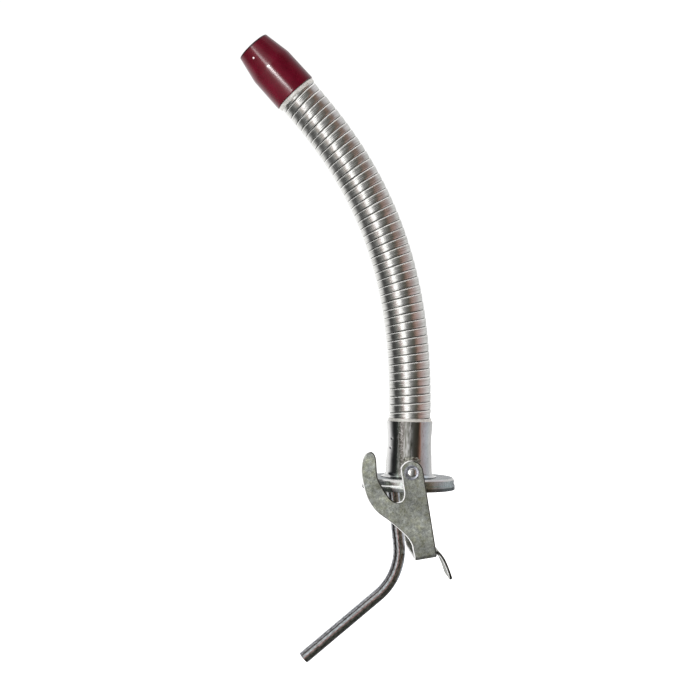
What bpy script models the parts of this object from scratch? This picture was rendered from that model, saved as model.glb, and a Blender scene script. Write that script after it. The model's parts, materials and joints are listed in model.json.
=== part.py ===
"""Flexible pouring spout with a cam-lever clamp, for the neck of a steel fuel can.

Lengths are in metres. The origin is the centre of the gasket's sealing face. +Z runs up the collar, the
hose leans towards -X, and the lever's two side plates stand at -Y (front) and +Y (rear). The hose is a
chain of short rigid links that turn on each other, alternately about Y and across the hose.
"""
import math

import bmesh
import bpy
from mathutils import Matrix, Vector

MM = 0.001
TOUCH_GAP = 0.3 * MM
MERGE_DISTANCE = 0.001 * MM

# Pressed cap, gasket and inlet
CAP_RADIUS = 30.1 * MM
CAP_TOP_Z = 6.0 * MM
CAP_BOTTOM_Z = -1.8 * MM
CAP_SHEET = 1.2 * MM
CAP_FLARE = 0.8 * MM
CAP_CORNER = 2.2 * MM
CAP_HOLE_RADIUS = 14.3 * MM
GASKET_RADIUS = 27.4 * MM
GASKET_HOLE_RADIUS = 14.4 * MM
GASKET_THICKNESS = 4.5 * MM
GASKET_CHAMFER = 1.2 * MM
GASKET_STEP_RADIUS = 20.1 * MM
GASKET_STEP = 0.3 * MM
INLET_PLATE_RADIUS = 19.6 * MM
INLET_PLATE_THICKNESS = 1.2 * MM
FUEL_HOLE_RADIUS = 8.0 * MM
FUEL_HOLE_X = 4.0 * MM
PLATE_CUTTER_DEPTH = 12.0 * MM

# Collar
COLLAR_TOP_Z = 41.0 * MM
COLLAR_RIM_RADIUS = 14.9 * MM
COLLAR_SHOULDER_WIDTH = 0.9 * MM
COLLAR_SHOULDER_DROP = 1.9 * MM
COLLAR_WAIST_RADIUS = 14.25 * MM
COLLAR_WAIST_Z = 29.0 * MM
COLLAR_BELLY_Z = 17.5 * MM
COLLAR_BASE_RADIUS = 15.1 * MM
COLLAR_FILLET = 3.0 * MM
COLLAR_BORE_RADIUS = 12.6 * MM
COLLAR_SPIGOT_RADIUS = 14.0 * MM
HOSE_SEAT_Z = 23.4 * MM

# Hose: its centreline leans further over as it rises from the collar's rim
HOSE_RADIUS = 13.5 * MM
HOSE_CLEARANCE = 0.15 * MM
HOSE_BORE_RADIUS = 11.4 * MM
HOSE_LENGTH = 232.6 * MM
HOSE_END_LEAN = math.radians(43.4)
HOSE_EVEN_SHARE = 0.6
HOSE_BEND_POWER = 1.13
LINK_COUNT = 14
END_JOINT_INSET = 7.0 * MM
LINK_GAP = 2.4 * MM
LIP_RADIUS = 12.0 * MM
LIP_REACH = 1.6 * MM
SOCKET_RADIUS = 12.55 * MM
SOCKET_DEPTH = 4.0 * MM
BAND_PITCH = 5.25 * MM
GROOVE_HALF_WIDTH = 0.6 * MM
GROOVE_DEPTH = 0.5 * MM

# Outlet tip, measured along its own axis from its rear face
TIP_LENGTH = 40.7 * MM
TIP_REAR_RADIUS = 14.95 * MM
TIP_KINK_RADIUS = 14.7 * MM
TIP_KINK_AT = 23.1 * MM
TIP_END_RADIUS = 11.75 * MM
TIP_BORE_RADIUS = 9.2 * MM
TIP_SOCKET_DEPTH = 12.0 * MM
TIP_ROUNDING = 0.8 * MM
TIP_RING_RADIUS = 14.3 * MM
TIP_RING_LENGTH = 2.4 * MM

# Lever and its pivots
PIVOT_X = -1.2 * MM
PIVOT_Z = 11.2 * MM
PLATE_THICKNESS = 2.0 * MM
PLATE_INNER_Y = 31.2 * MM
EYE_RADIUS = 7.5 * MM
EYE_HOLE_RADIUS = 3.7 * MM
BRIDGE_DROP = 55.3 * MM
BRIDGE_TILT = math.radians(10.2)
BRIDGE_CORNER = 3.0 * MM
TAB_HALF_WIDTH = 14.0 * MM
TAB_THICKNESS = 1.9 * MM
CHANNEL_TOP = 24.0 * MM
CHANNEL_HALF_LENGTH = 45.0 * MM
STUD_ROOT = 11.0 * MM
STUD_BOSS_RADIUS = 4.6 * MM
STUD_SHAFT_RADIUS = 3.4 * MM
STUD_NECK_RADIUS = 2.2 * MM
STUD_HEAD_RADIUS = 3.0 * MM
STUD_HEAD_HEIGHT = 1.5 * MM
WASHER_RADIUS = 4.7 * MM
WASHER_THICKNESS = 0.9 * MM
PLATE_PLAY = 0.4 * MM

# Breather tube
BREATHER_RADIUS = 4.0 * MM
BREATHER_WALL = 1.0 * MM
BREATHER_TOP = Vector((-10.4 * MM, 0.0, -0.6 * MM))
BREATHER_START_LEAN = math.radians(7.3)
BREATHER_STRAIGHT = 37.5 * MM
BREATHER_BEND_RADIUS = 38.0 * MM
BREATHER_BEND = math.radians(56.5)
BREATHER_TAIL = 63.0 * MM
BEAD_LENGTH = 2.8 * MM
BEAD_WIDTH = 1.6 * MM
BEAD_CUTTER_HEIGHT = 10.0 * MM

# Round sections
FINE_STEPS = 36
MEDIUM_STEPS = 28
COARSE_STEPS = 16


def clear_scene():
    for old in list(bpy.data.objects):
        bpy.data.objects.remove(old, do_unlink=True)


def new_collection(name):
    collection = bpy.data.collections.new(name)
    bpy.context.scene.collection.children.link(collection)
    return collection


def new_material(name, colour, roughness, metallic):
    material = bpy.data.materials.new(name)
    material.use_nodes = True
    shader = material.node_tree.nodes["Principled BSDF"]
    shader.inputs["Base Color"].default_value = (*colour, 1.0)
    shader.inputs["Roughness"].default_value = roughness
    shader.inputs["Metallic"].default_value = metallic
    return material


clear_scene()
PARTS = new_collection("pouring_spout")
CUTTERS = new_collection("cutters")


def add_object(name, data, material=None, collection=PARTS):
    """Link a new object; cutters and guides stay out of renders and show as wire."""
    new = bpy.data.objects.new(name, data)
    collection.objects.link(new)
    if material:
        data.materials.append(material)
    if collection is CUTTERS:
        new.hide_render = True
        new.display_type = "WIRE"
    return new


def turned(name, profile, steps, material=None, collection=PARTS):
    """Turn (radius, height) points about local Z; the outer side of the profile runs downwards."""
    closed = min(radius for radius, _ in profile) > 0.0
    mesh = bpy.data.meshes.new(name)
    edges = [(i, i + 1) for i in range(len(profile) - 1)]
    if closed:
        edges.append((len(profile) - 1, 0))
    mesh.from_pydata([(radius, 0.0, height) for radius, height in profile], edges, [])
    new = add_object(name, mesh, material, collection)
    screw = new.modifiers.new("Turn", "SCREW")
    screw.steps = steps
    screw.render_steps = steps
    screw.use_merge_vertices = True
    screw.merge_threshold = MERGE_DISTANCE
    return new


def arc(centre, radius, start, end, count):
    """Points on an arc, with the angles in radians, both ends included."""
    angles = [start + (end - start) * i / (count - 1) for i in range(count)]
    return [(centre[0] + radius * math.cos(a), centre[1] + radius * math.sin(a)) for a in angles]


def smooth_line(points, per_span):
    """A Catmull-Rom curve through the given points."""
    ends = [points[0], *points, points[-1]]
    line = []
    for before, start, end, after in zip(ends, ends[1:], ends[2:], ends[3:]):
        for step in range(per_span):
            t = step / per_span
            weights = (
                (-t + 2 * t * t - t ** 3) / 2,
                (2 - 5 * t * t + 3 * t ** 3) / 2,
                (t + 4 * t * t - 3 * t ** 3) / 2,
                (-t * t + t ** 3) / 2,
            )
            near = (before, start, end, after)
            line.append(tuple(sum(w * p[axis] for w, p in zip(weights, near)) for axis in (0, 1)))
    line.append(tuple(points[-1]))
    return line


def offset_line(line, distance):
    """The line moved sideways by a distance, to the left of its direction of travel."""
    moved = []
    for i, (x, y) in enumerate(line):
        ahead = line[min(i + 1, len(line) - 1)]
        behind = line[max(i - 1, 0)]
        length = math.hypot(ahead[0] - behind[0], ahead[1] - behind[1])
        moved.append((x - distance * (ahead[1] - behind[1]) / length,
                      y + distance * (ahead[0] - behind[0]) / length))
    return moved


def poly_curve(name, splines, dimensions, cyclic):
    curve = bpy.data.curves.new(name, "CURVE")
    curve.dimensions = dimensions
    for points in splines:
        spline = curve.splines.new("POLY")
        spline.points.add(len(points) - 1)
        for target, point in zip(spline.points, points):
            target.co = (*point, 0.0, 1.0) if len(point) == 2 else (*point, 1.0)
        spline.use_cyclic_u = cyclic
    return curve


def as_mesh(source, collection, material=None):
    """Replace a curve object by a mesh object with welded caps, in the same place."""
    bpy.context.view_layer.update()
    evaluated = source.evaluated_get(bpy.context.evaluated_depsgraph_get())
    mesh = bpy.data.meshes.new_from_object(evaluated)
    work = bmesh.new()
    work.from_mesh(mesh)
    bmesh.ops.remove_doubles(work, verts=work.verts, dist=MERGE_DISTANCE)
    bmesh.ops.recalc_face_normals(work, faces=work.faces)
    work.to_mesh(mesh)
    work.free()
    mesh.materials.clear()
    name = source.name
    place = source.matrix_world.copy()
    bpy.data.objects.remove(source, do_unlink=True)
    new = add_object(name, mesh, material, collection)
    new.matrix_world = place
    return new


def prism(name, outlines, low, high):
    """A cutter: a flat outline in the XZ plane, made solid from y = low to y = high."""
    curve = poly_curve(name, outlines, "2D", True)
    curve.fill_mode = "BOTH"
    curve.extrude = (high - low) / 2
    guide = add_object(name, curve, None, CUTTERS)
    guide.matrix_world = Matrix.Translation((0, (low + high) / 2, 0)) @ Matrix.Rotation(math.pi / 2, 4, "X")
    return as_mesh(guide, CUTTERS)


def boolean(target, other, operation):
    modifier = target.modifiers.new(operation.title(), "BOOLEAN")
    modifier.operation = operation
    modifier.object = other
    modifier.solver = "EXACT"


def cylinder(name, radius, depth, place, steps, collection=CUTTERS, material=None):
    work = bmesh.new()
    bmesh.ops.create_cone(work, cap_ends=True, segments=steps, radius1=radius, radius2=radius, depth=depth)
    mesh = bpy.data.meshes.new(name)
    work.to_mesh(mesh)
    work.free()
    new = add_object(name, mesh, material, collection)
    new.matrix_world = place
    return new


def shade_round(part):
    part.data.shade_smooth()
    part.data.set_sharp_from_angle(angle=math.radians(35))


def leaning(point, lean):
    """A place at a point, with local Z leaning from +Z towards -X."""
    return Matrix.Translation(point) @ Matrix.Rotation(-lean, 4, "Y")


# ---------------------------------------------------------------- cap, gasket, inlet and collar

def make_cap(material):
    corner = (CAP_RADIUS - CAP_FLARE - CAP_CORNER, CAP_TOP_Z - CAP_CORNER)
    outer = arc(corner, CAP_CORNER, math.pi / 2, 0.0, 5)
    inner = arc(corner, CAP_CORNER - CAP_SHEET, 0.0, math.pi / 2, 3)
    profile = [(CAP_HOLE_RADIUS, CAP_TOP_Z), *outer, (CAP_RADIUS, CAP_BOTTOM_Z),
               (CAP_RADIUS - CAP_SHEET, CAP_BOTTOM_Z), *inner, (CAP_HOLE_RADIUS, CAP_TOP_Z - CAP_SHEET)]
    turned("cap", profile, FINE_STEPS, material)


def make_gasket(material):
    """A ring whose sealing face stands proud of the part that lies on the inlet plate."""
    profile = [
        (GASKET_HOLE_RADIUS, GASKET_THICKNESS),
        (GASKET_RADIUS - GASKET_CHAMFER, GASKET_THICKNESS),
        (GASKET_RADIUS, GASKET_THICKNESS - GASKET_CHAMFER),
        (GASKET_RADIUS, 0.0),
        (GASKET_STEP_RADIUS, 0.0),
        (GASKET_STEP_RADIUS, GASKET_STEP),
        (GASKET_HOLE_RADIUS, GASKET_STEP),
    ]
    turned("gasket", profile, FINE_STEPS, material)


def make_inlet_plate(material):
    middle_z = -TOUCH_GAP - INLET_PLATE_THICKNESS / 2
    place = Matrix.Translation((0, 0, middle_z))
    plate = cylinder("inlet_plate", INLET_PLATE_RADIUS, INLET_PLATE_THICKNESS, place, FINE_STEPS, PARTS,
                     material)
    fuel_place = Matrix.Translation((FUEL_HOLE_X, 0, middle_z))
    fuel_hole = cylinder("fuel_hole_cutter", FUEL_HOLE_RADIUS, PLATE_CUTTER_DEPTH, fuel_place,
                         MEDIUM_STEPS)
    breather_place = leaning(BREATHER_TOP, BREATHER_START_LEAN)
    breather_hole = cylinder("breather_hole_cutter", BREATHER_RADIUS + TOUCH_GAP, PLATE_CUTTER_DEPTH,
                             breather_place, COARSE_STEPS)
    boolean(plate, fuel_hole, "DIFFERENCE")
    boolean(plate, breather_hole, "DIFFERENCE")


def collar_side(extra=0.0):
    """The collar's outer side from its rim to its foot, moved outwards by a clearance."""
    foot = (COLLAR_BASE_RADIUS + COLLAR_FILLET, CAP_TOP_Z + TOUCH_GAP + COLLAR_FILLET)
    fillet = arc(foot, COLLAR_FILLET, math.pi, 1.5 * math.pi, 5)
    side = [
        (COLLAR_RIM_RADIUS - COLLAR_SHOULDER_WIDTH, COLLAR_TOP_Z),
        (COLLAR_RIM_RADIUS - 0.1 * MM, COLLAR_TOP_Z - 0.7 * COLLAR_SHOULDER_DROP),
        (COLLAR_RIM_RADIUS, COLLAR_TOP_Z - COLLAR_SHOULDER_DROP),
        (COLLAR_WAIST_RADIUS, COLLAR_WAIST_Z),
        (COLLAR_RIM_RADIUS - 0.1 * MM, COLLAR_BELLY_Z),
        *fillet,
    ]
    return [(radius + extra, height) for radius, height in side]


def make_collar(material):
    profile = [
        (HOSE_RADIUS + HOSE_CLEARANCE, COLLAR_TOP_Z),
        *collar_side(),
        (COLLAR_SPIGOT_RADIUS, CAP_TOP_Z + TOUCH_GAP),
        (COLLAR_SPIGOT_RADIUS, 0.0),
        (COLLAR_BORE_RADIUS, 0.0),
        (COLLAR_BORE_RADIUS, HOSE_SEAT_Z),
        (HOSE_RADIUS + HOSE_CLEARANCE, HOSE_SEAT_Z),
    ]
    turned("collar", profile, FINE_STEPS, material)


# ---------------------------------------------------------------- breather tube

def breather_points():
    """Centre points of the tube: a straight, one bend towards -X and a straight tail."""
    heading = Vector((math.sin(BREATHER_START_LEAN), 0, -math.cos(BREATHER_START_LEAN)))
    inward = Vector((heading.z, 0, -heading.x))
    bend_start = BREATHER_TOP + heading * BREATHER_STRAIGHT
    centre = bend_start + inward * BREATHER_BEND_RADIUS
    bend_steps = 9
    points = [BREATHER_TOP, bend_start]
    for step in range(1, bend_steps + 1):
        turn = BREATHER_BEND * step / bend_steps
        spoke = -inward * math.cos(turn) + heading * math.sin(turn)
        points.append(centre + spoke * BREATHER_BEND_RADIUS)
    end_heading = heading * math.cos(BREATHER_BEND) + inward * math.sin(BREATHER_BEND)
    points.append(points[-1] + end_heading * BREATHER_TAIL)
    return points


def make_breather(material):
    curve = poly_curve("breather_tube", [[tuple(p) for p in breather_points()]], "3D", False)
    curve.bevel_depth = BREATHER_RADIUS
    curve.bevel_resolution = 4
    curve.use_fill_caps = False
    tube = add_object("breather_tube", curve, material)
    wall = tube.modifiers.new("Wall", "SOLIDIFY")
    wall.thickness = BREATHER_WALL
    wall.offset = -1.0


def make_breather_bead(material):
    """The ring of braze that holds the breather tube under the inlet plate."""
    inner = BREATHER_RADIUS + TOUCH_GAP
    profile = [
        (inner, 0.0),
        (inner + BEAD_WIDTH, 0.0),
        (inner + 0.75 * BEAD_WIDTH, -0.55 * BEAD_LENGTH),
        (inner, -BEAD_LENGTH),
    ]
    bead = turned("breather_bead", profile, COARSE_STEPS, material)
    bead.matrix_world = leaning(BREATHER_TOP, BREATHER_START_LEAN)
    block_bottom = -INLET_PLATE_THICKNESS - 2 * TOUCH_GAP
    block_place = Matrix.Translation((BREATHER_TOP.x, 0, block_bottom + BEAD_CUTTER_HEIGHT / 2))
    block = cylinder("bead_cutter", 3 * BREATHER_RADIUS, BEAD_CUTTER_HEIGHT, block_place, COARSE_STEPS)
    boolean(bead, block, "DIFFERENCE")


# ---------------------------------------------------------------- hose and outlet tip

def hose_lean(distance):
    """How far the centreline leans at a distance along it from the collar's rim."""
    share = (max(distance, 0.0) / HOSE_LENGTH) ** HOSE_BEND_POWER
    eased = share * share * (3 - 2 * share)
    return HOSE_END_LEAN * (HOSE_EVEN_SHARE * share + (1 - HOSE_EVEN_SHARE) * eased)


def hose_joint_points():
    """The points where the links turn on each other, read off the centreline."""
    step = 0.1 * MM
    spacing = (HOSE_LENGTH - 2 * END_JOINT_INSET) / (LINK_COUNT - 2)
    wanted = [END_JOINT_INSET + spacing * i for i in range(LINK_COUNT - 1)]
    points = []
    x, z, travelled = 0.0, COLLAR_TOP_Z, 0.0
    for target in wanted:
        while travelled < target - step / 2:
            lean = hose_lean(travelled + step / 2)
            x -= step * math.sin(lean)
            z += step * math.cos(lean)
            travelled += step
        points.append(Vector((x, 0.0, z)))
    return points


def link_profile(length, has_socket, has_lip):
    """One link from its lower joint (height 0) to its upper joint (height length)."""
    bottom = LINK_GAP / 2 if has_socket else 0.0
    top = length - LINK_GAP / 2 if has_lip else length
    profile = [(HOSE_BORE_RADIUS, top)]
    if has_lip:
        lip_end = length + LIP_REACH
        profile = [(HOSE_BORE_RADIUS, lip_end), (LIP_RADIUS, lip_end), (LIP_RADIUS, top)]
    profile.append((HOSE_RADIUS, top))
    bands = round((top - bottom) / BAND_PITCH)
    for band in range(1, bands):
        groove = top - (top - bottom) * band / bands
        profile.append((HOSE_RADIUS, groove + GROOVE_HALF_WIDTH))
        profile.append((HOSE_RADIUS - GROOVE_DEPTH, groove))
        profile.append((HOSE_RADIUS, groove - GROOVE_HALF_WIDTH))
    profile.append((HOSE_RADIUS, bottom))
    if has_socket:
        profile.append((SOCKET_RADIUS, bottom))
        profile.append((SOCKET_RADIUS, SOCKET_DEPTH))
        profile.append((HOSE_BORE_RADIUS, SOCKET_DEPTH))
    else:
        profile.append((HOSE_BORE_RADIUS, bottom))
    return profile


def make_hose(material):
    """All the links; returns where the tip's rear face sits."""
    joints = hose_joint_points()
    tip_lean = hose_lean(HOSE_LENGTH)
    tip_heading = Vector((-math.sin(tip_lean), 0, math.cos(tip_lean)))
    inserted = TIP_SOCKET_DEPTH - TOUCH_GAP
    first = Vector((0, 0, HOSE_SEAT_Z + TOUCH_GAP))
    last = joints[-1] + tip_heading * (END_JOINT_INSET + inserted)
    stations = [first, *joints, last]
    for number in range(1, LINK_COUNT + 1):
        start, end = stations[number - 1], stations[number]
        run = end - start
        profile = link_profile(run.length, number > 1, number < LINK_COUNT)
        link = turned(f"hose_link_{number:02d}", profile, COARSE_STEPS, material)
        link.matrix_world = leaning(start, math.atan2(-run.x, run.z))
    return leaning(joints[-1] + tip_heading * END_JOINT_INSET, tip_lean)


def make_tip(place, material):
    profile = [
        (TIP_BORE_RADIUS, TIP_LENGTH - TIP_ROUNDING),
        (TIP_BORE_RADIUS + TIP_ROUNDING / 2, TIP_LENGTH),
        (TIP_END_RADIUS - TIP_ROUNDING, TIP_LENGTH),
        (TIP_END_RADIUS - 0.1 * MM, TIP_LENGTH - TIP_ROUNDING),
        (TIP_KINK_RADIUS - 0.15 * MM, TIP_KINK_AT + TIP_ROUNDING),
        (TIP_KINK_RADIUS, TIP_KINK_AT - TIP_ROUNDING),
        (TIP_REAR_RADIUS, 0.5 * TIP_ROUNDING),
        (TIP_REAR_RADIUS - 0.3 * MM, 0.0),
        (HOSE_RADIUS + TOUCH_GAP, 0.0),
        (HOSE_RADIUS + TOUCH_GAP, TIP_SOCKET_DEPTH),
        (HOSE_BORE_RADIUS, TIP_SOCKET_DEPTH),
    ]
    tip = turned("outlet_tip", profile, MEDIUM_STEPS, material)
    tip.matrix_world = place


def make_tip_ring(place, material):
    inner = HOSE_RADIUS + HOSE_CLEARANCE
    profile = [
        (inner, -TOUCH_GAP),
        (TIP_RING_RADIUS, -TOUCH_GAP),
        (TIP_RING_RADIUS, -TOUCH_GAP - 0.7 * TIP_RING_LENGTH),
        (inner + 0.25 * MM, -TOUCH_GAP - TIP_RING_LENGTH),
        (inner, -TOUCH_GAP - TIP_RING_LENGTH),
    ]
    ring = turned("tip_ring", profile, COARSE_STEPS, material)
    ring.matrix_world = place


# ---------------------------------------------------------------- lever and pivots

def in_metres(points):
    return [(x * MM, z * MM) for x, z in points]


def plate_outline():
    """A side plate about its pivot: belly, hook, slot, eye and straight right edge, anticlockwise back."""
    left_side = [(3.2, -56.2), (2.8, -51.4), (0.6, -44.6), (-5.2, -37.3), (-13.8, -30.5), (-22.2, -24.3),
                 (-27.7, -16.4), (-30.8, -6.0), (-31.8, 1.5), (-30.9, 8.4), (-28.9, 11.7), (-26.6, 12.7),
                 (-24.1, 11.7), (-22.5, 8.2), (-21.9, 2.0), (-21.2, -3.7), (-18.9, -8.3), (-15.7, -13.3),
                 (-12.8, -16.9), (-9.0, -18.7), (-5.7, -17.6), (-4.4, -13.8), (-5.4, -7.0), (-6.6, 0.0)]
    eye = arc((0, 0), EYE_RADIUS, math.radians(158), math.radians(8), 12)
    bridge_end = in_metres([(17.4, -54.2)])
    return [*smooth_line(in_metres(left_side), 3), *eye, *bridge_end]


def rear_hook_trim():
    """What is cut from the rear plate around its hook, which is shorter and slimmer than the front one."""
    hook_edge = [(-23.5, -27.5), (-24.2, -21.0), (-25.6, -15.0), (-26.6, -8.0), (-26.9, -1.0), (-26.7, 4.2),
                 (-25.7, 6.6), (-24.4, 7.3), (-23.1, 6.6), (-22.3, 4.6), (-21.4, 1.5)]
    around = [(-17.0, 16.0), (-36.0, 16.0), (-36.0, -27.5)]
    return in_metres(hook_edge + around)


def channel_outline():
    """The U section of the lever: two plates and the bridge, with round bends."""
    outer_y = PLATE_INNER_Y + PLATE_THICKNESS
    bend_y = outer_y - BRIDGE_CORNER
    bend_z = -BRIDGE_DROP + BRIDGE_CORNER
    inner_corner = BRIDGE_CORNER - PLATE_THICKNESS
    return [
        (outer_y, CHANNEL_TOP),
        (PLATE_INNER_Y, CHANNEL_TOP),
        *arc((bend_y, bend_z), inner_corner, 0.0, -math.pi / 2, 3),
        *arc((-bend_y, bend_z), inner_corner, -math.pi / 2, -math.pi, 3),
        (-PLATE_INNER_Y, CHANNEL_TOP),
        (-outer_y, CHANNEL_TOP),
        *arc((-bend_y, bend_z), BRIDGE_CORNER, -math.pi, -math.pi / 2, 5),
        *arc((bend_y, bend_z), BRIDGE_CORNER, -math.pi / 2, 0.0, 5),
    ]


def tab_outline():
    """The thumb tab from inside the bridge, out to the right and curled down, with a round end."""
    middle = smooth_line(in_metres([(12.2, -53.0), (15.0, -52.5), (18.2, -52.5), (21.0, -54.0),
                                    (23.6, -57.6), (26.2, -63.2), (28.5, -69.4)]), 3)
    upper = offset_line(middle, TAB_THICKNESS / 2)
    lower = offset_line(middle, -TAB_THICKNESS / 2)
    end = middle[-1]
    heading = math.atan2(end[1] - middle[-2][1], end[0] - middle[-2][0])
    cap = arc(end, TAB_THICKNESS / 2, heading + math.radians(60), heading - math.radians(60), 4)
    return [*upper, *cap, *reversed(lower)]


def make_lever(material):
    curve = poly_curve("lever", [channel_outline()], "2D", True)
    curve.fill_mode = "BOTH"
    curve.extrude = CHANNEL_HALF_LENGTH
    guide = add_object("lever", curve, None, CUTTERS)
    tilt = Matrix.Rotation(-BRIDGE_TILT, 4, "Y")
    across = Matrix.Rotation(math.pi / 2, 4, "Z") @ Matrix.Rotation(math.pi / 2, 4, "X")
    guide.matrix_world = tilt @ across
    pivot = Matrix.Translation((PIVOT_X, 0, PIVOT_Z))
    channel = as_mesh(guide, PARTS, material)
    channel.data.transform(channel.matrix_world)
    channel.matrix_world = pivot
    beyond = PLATE_INNER_Y + 2 * PLATE_THICKNESS
    eye_hole = arc((0, 0), EYE_HOLE_RADIUS, 0.0, -2 * math.pi * 19 / 20, 20)
    silhouette = prism("lever_silhouette", [plate_outline(), eye_hole], -beyond, beyond)
    tab = prism("tab_shape", [tab_outline()], -TAB_HALF_WIDTH, TAB_HALF_WIDTH)
    trim = prism("rear_hook_trim", [rear_hook_trim()], PLATE_INNER_Y - PLATE_THICKNESS, beyond)
    for shape in (silhouette, tab, trim):
        shape.data.transform(shape.matrix_world)
        shape.matrix_world = pivot
    boolean(channel, silhouette, "INTERSECT")
    boolean(channel, trim, "DIFFERENCE")
    boolean(channel, tab, "UNION")


def make_pivot(side_name, turn, material):
    """A stud brazed to the collar, and the washer under its peened head; local Z points outwards."""
    place = Matrix.Translation((PIVOT_X, 0, PIVOT_Z)) @ Matrix.Rotation(turn, 4, "X")
    plate_outer = PLATE_INNER_Y + PLATE_THICKNESS
    washer_low = plate_outer + 1.25 * PLATE_PLAY
    head_low = washer_low + WASHER_THICKNESS + TOUCH_GAP
    dome = [(STUD_HEAD_RADIUS * math.sin(a), head_low + STUD_HEAD_HEIGHT * math.cos(a))
            for a in (math.radians(degrees) for degrees in (0, 30, 60, 90))]
    stud_profile = [
        *dome,
        (STUD_NECK_RADIUS, head_low),
        (STUD_NECK_RADIUS, plate_outer + PLATE_PLAY / 2),
        (STUD_SHAFT_RADIUS, plate_outer + PLATE_PLAY / 2),
        (STUD_SHAFT_RADIUS, PLATE_INNER_Y - PLATE_PLAY),
        (STUD_BOSS_RADIUS, PLATE_INNER_Y - PLATE_PLAY),
        (STUD_BOSS_RADIUS, STUD_ROOT),
        (0.0, STUD_ROOT),
    ]
    stud = turned(f"pivot_stud_{side_name}", stud_profile, COARSE_STEPS, material)
    stud.matrix_world = place
    boolean(stud, bpy.data.objects["collar_cutter"], "DIFFERENCE")
    washer_profile = [
        (STUD_NECK_RADIUS + TOUCH_GAP, washer_low + WASHER_THICKNESS),
        (WASHER_RADIUS - 0.5 * MM, washer_low + WASHER_THICKNESS),
        (WASHER_RADIUS, washer_low + 0.5 * WASHER_THICKNESS),
        (WASHER_RADIUS, washer_low),
        (STUD_NECK_RADIUS + TOUCH_GAP, washer_low),
    ]
    washer = turned(f"pivot_washer_{side_name}", washer_profile, COARSE_STEPS, material)
    washer.matrix_world = place


def make_collar_cutter():
    """What the collar takes from the studs' roots, with the gap that parts keep."""
    side = collar_side(TOUCH_GAP)
    below = CAP_TOP_Z - CAP_SHEET
    profile = [(0.0, COLLAR_TOP_Z), *side, (side[-1][0], below), (0.0, below)]
    turned("collar_cutter", profile, FINE_STEPS, None, CUTTERS)


# ---------------------------------------------------------------- the whole spout

def main():
    plated = new_material("plated_steel", (0.62, 0.62, 0.62), 0.16, 1.0)
    hose_steel = new_material("galvanised_strip", (0.66, 0.66, 0.64), 0.2, 1.0)
    zinc = new_material("zinc_lever", (0.36, 0.37, 0.32), 0.45, 0.85)
    tarnished = new_material("tarnished_tube", (0.3, 0.28, 0.27), 0.25, 1.0)
    red = new_material("red_tip", (0.16, 0.008, 0.02), 0.22, 0.0)
    rubber = new_material("black_rubber", (0.03, 0.03, 0.03), 0.7, 0.0)
    braze = new_material("braze", (0.55, 0.5, 0.36), 0.35, 1.0)

    make_cap(plated)
    make_gasket(rubber)
    make_inlet_plate(plated)
    make_collar(plated)
    make_breather(tarnished)
    make_breather_bead(braze)
    tip_place = make_hose(hose_steel)
    make_tip(tip_place, red)
    make_tip_ring(tip_place, plated)
    make_collar_cutter()
    make_lever(zinc)
    make_pivot("front", math.pi / 2, plated)
    make_pivot("rear", -math.pi / 2, plated)
    for part in PARTS.objects:
        if part.type == "MESH" and part.data.polygons:
            shade_round(part)


main()
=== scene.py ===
"""Looks of the flexible pouring spout: detailed pieces, materials, studio light and camera.

Lengths are in metres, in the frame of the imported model: the origin is the centre of the gasket's sealing
face, +Z runs up the collar, the hose leans towards -X and the front lever plate stands at -Y.
"""
import json
import math

import bmesh
import bpy
import numpy as np
from mathutils import Matrix, Vector, noise


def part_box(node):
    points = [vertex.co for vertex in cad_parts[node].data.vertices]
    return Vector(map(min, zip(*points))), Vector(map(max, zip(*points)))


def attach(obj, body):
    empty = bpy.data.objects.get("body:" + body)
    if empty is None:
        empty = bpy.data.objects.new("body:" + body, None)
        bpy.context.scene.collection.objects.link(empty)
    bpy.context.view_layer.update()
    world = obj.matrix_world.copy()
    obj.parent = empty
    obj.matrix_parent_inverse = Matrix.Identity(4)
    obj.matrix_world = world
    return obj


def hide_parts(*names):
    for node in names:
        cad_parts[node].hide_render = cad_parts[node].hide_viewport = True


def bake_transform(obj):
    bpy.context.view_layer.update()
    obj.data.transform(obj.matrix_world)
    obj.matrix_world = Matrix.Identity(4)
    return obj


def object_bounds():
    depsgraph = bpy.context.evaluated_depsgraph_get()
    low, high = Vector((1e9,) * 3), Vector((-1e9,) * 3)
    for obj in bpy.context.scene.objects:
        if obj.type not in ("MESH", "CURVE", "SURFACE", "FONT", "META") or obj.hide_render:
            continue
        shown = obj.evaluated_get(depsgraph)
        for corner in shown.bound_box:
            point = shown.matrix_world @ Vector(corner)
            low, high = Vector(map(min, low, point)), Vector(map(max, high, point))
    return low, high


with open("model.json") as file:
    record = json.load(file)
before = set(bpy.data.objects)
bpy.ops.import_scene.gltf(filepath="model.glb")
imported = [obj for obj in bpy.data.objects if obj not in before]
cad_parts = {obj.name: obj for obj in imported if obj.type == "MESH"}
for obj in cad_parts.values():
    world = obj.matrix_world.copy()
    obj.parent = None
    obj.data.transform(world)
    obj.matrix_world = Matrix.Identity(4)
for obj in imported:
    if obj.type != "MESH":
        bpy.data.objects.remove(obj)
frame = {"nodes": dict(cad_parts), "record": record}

MM = 0.001
CAD_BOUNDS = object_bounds()
RECORD = frame["record"]
JOINTS = {joint["name"]: joint for joint in RECORD["behaviour"]["joints"]}
MOUNTS = {mount["name"]: mount for mount in RECORD["mounts"]}
PIVOT = Vector(JOINTS["lever_hinge"]["pos_m"])
FRONT_TURN = math.pi / 2
REAR_TURN = -math.pi / 2

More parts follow.
